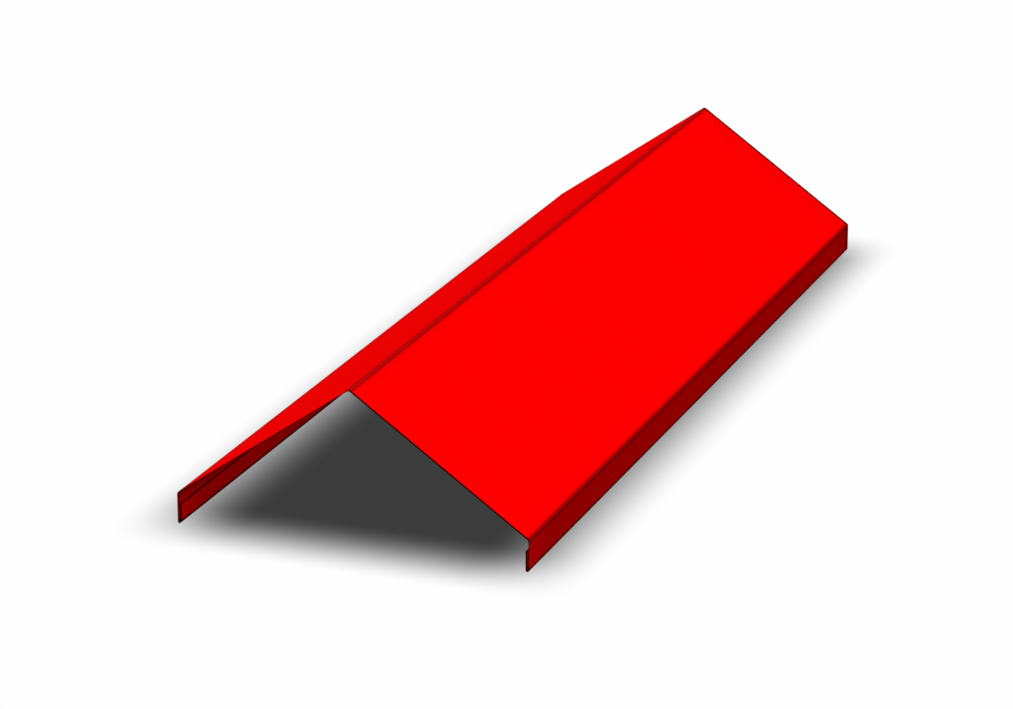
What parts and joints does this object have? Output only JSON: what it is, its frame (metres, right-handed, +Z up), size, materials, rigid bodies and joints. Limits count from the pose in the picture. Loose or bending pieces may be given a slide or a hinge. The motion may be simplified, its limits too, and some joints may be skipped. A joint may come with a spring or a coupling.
{
  "type": "ridge cap",
  "caption": "Folded pre-painted steel ridge cap with two sloping wings, upright drip flanges and open return hems.",
  "frame": {"origin": "on the level of the hems' bottoms, below the middle of the ridge line", "axes": "+Y along the ridge, +X across it towards one eave, +Z up; the section is the same on both sides of X = 0"},
  "size_m": [0.331, 1, 0.1441],
  "materials": {
    "red_coated_steel": "semi-gloss polyester coil coating, the same red on both sides"
  },
  "bodies": {
    "root": {"folded_sheet": "red_coated_steel"}
  },
  "joints": []
}
